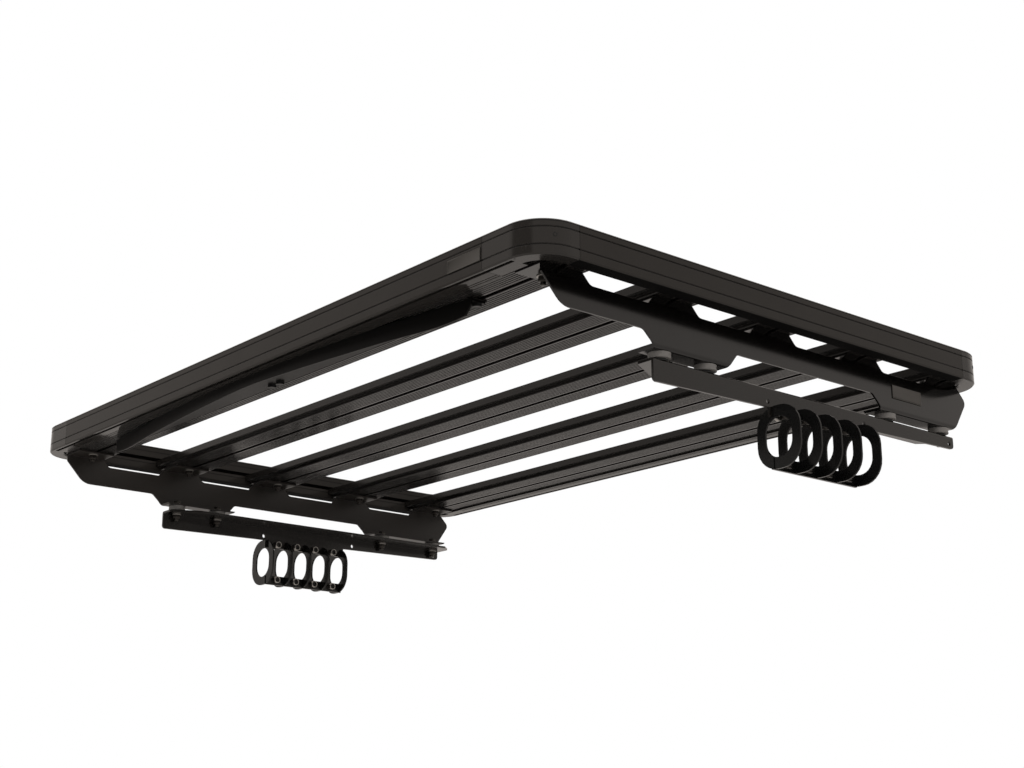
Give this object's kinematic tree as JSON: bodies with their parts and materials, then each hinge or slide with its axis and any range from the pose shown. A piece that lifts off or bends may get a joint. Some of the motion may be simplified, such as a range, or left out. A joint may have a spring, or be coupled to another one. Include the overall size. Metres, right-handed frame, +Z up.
{
  "type": "flat platform roof rack",
  "caption": "Flat platform roof rack: edge beams with rounded corners, cross slats, a low wind fairing, folded foot rails on pads, and lower rails carrying stacks of rings.",
  "frame": {"origin": "centre of the bounding box on the floor, under the ring stacks", "axes": "+X to the right side of the rack, -Y to the front with the fairing, +Z up"},
  "size_m": [1.436, 0.9552, 0.248],
  "materials": {
    "tray_coat": "satin black powder coat on aluminium extrusion",
    "slat_coat": "satin black powder coat on grooved aluminium extrusion",
    "rail_coat": "satin black powder coat on folded steel sheet",
    "ring_coat": "satin black powder coat on cut steel plate",
    "pad": "matt grey moulded nylon",
    "fairing": "matt black moulded sheet",
    "badge": "satin dark plate, bare"
  },
  "bodies": {
    "root": {"fairing_brackets": "ring_coat", "front_badge_plate": "badge", "front_beam": "tray_coat", "front_left_corner": "tray_coat", "front_right_corner": "tray_coat", "left_beam": "tray_coat", "left_foot_rail": "rail_coat", "left_front_pads": "pad", "left_lower_rail": "rail_coat", "left_rear_pads": "pad", "left_ring_1": "ring_coat", "left_ring_2": "ring_coat", "left_ring_3": "ring_coat", "left_ring_4": "ring_coat", "left_ring_5": "ring_coat", "left_ring_tie": "ring_coat", "rail_badge_plate": "badge", "rear_beam": "tray_coat", "rear_left_corner": "tray_coat", "rear_right_corner": "tray_coat", "right_beam": "tray_coat", "right_foot_rail": "rail_coat", "right_front_pads": "pad", "right_lower_rail": "rail_coat", "right_rear_pads": "pad", "right_ring_1": "ring_coat", "right_ring_2": "ring_coat", "right_ring_3": "ring_coat", "right_ring_4": "ring_coat", "right_ring_5": "ring_coat", "right_ring_tie": "ring_coat", "slat_1": "slat_coat", "slat_2": "slat_coat", "slat_3": "slat_coat", "slat_4": "slat_coat", "slat_5": "slat_coat", "wind_fairing": "fairing"}
  },
  "joints": []
}
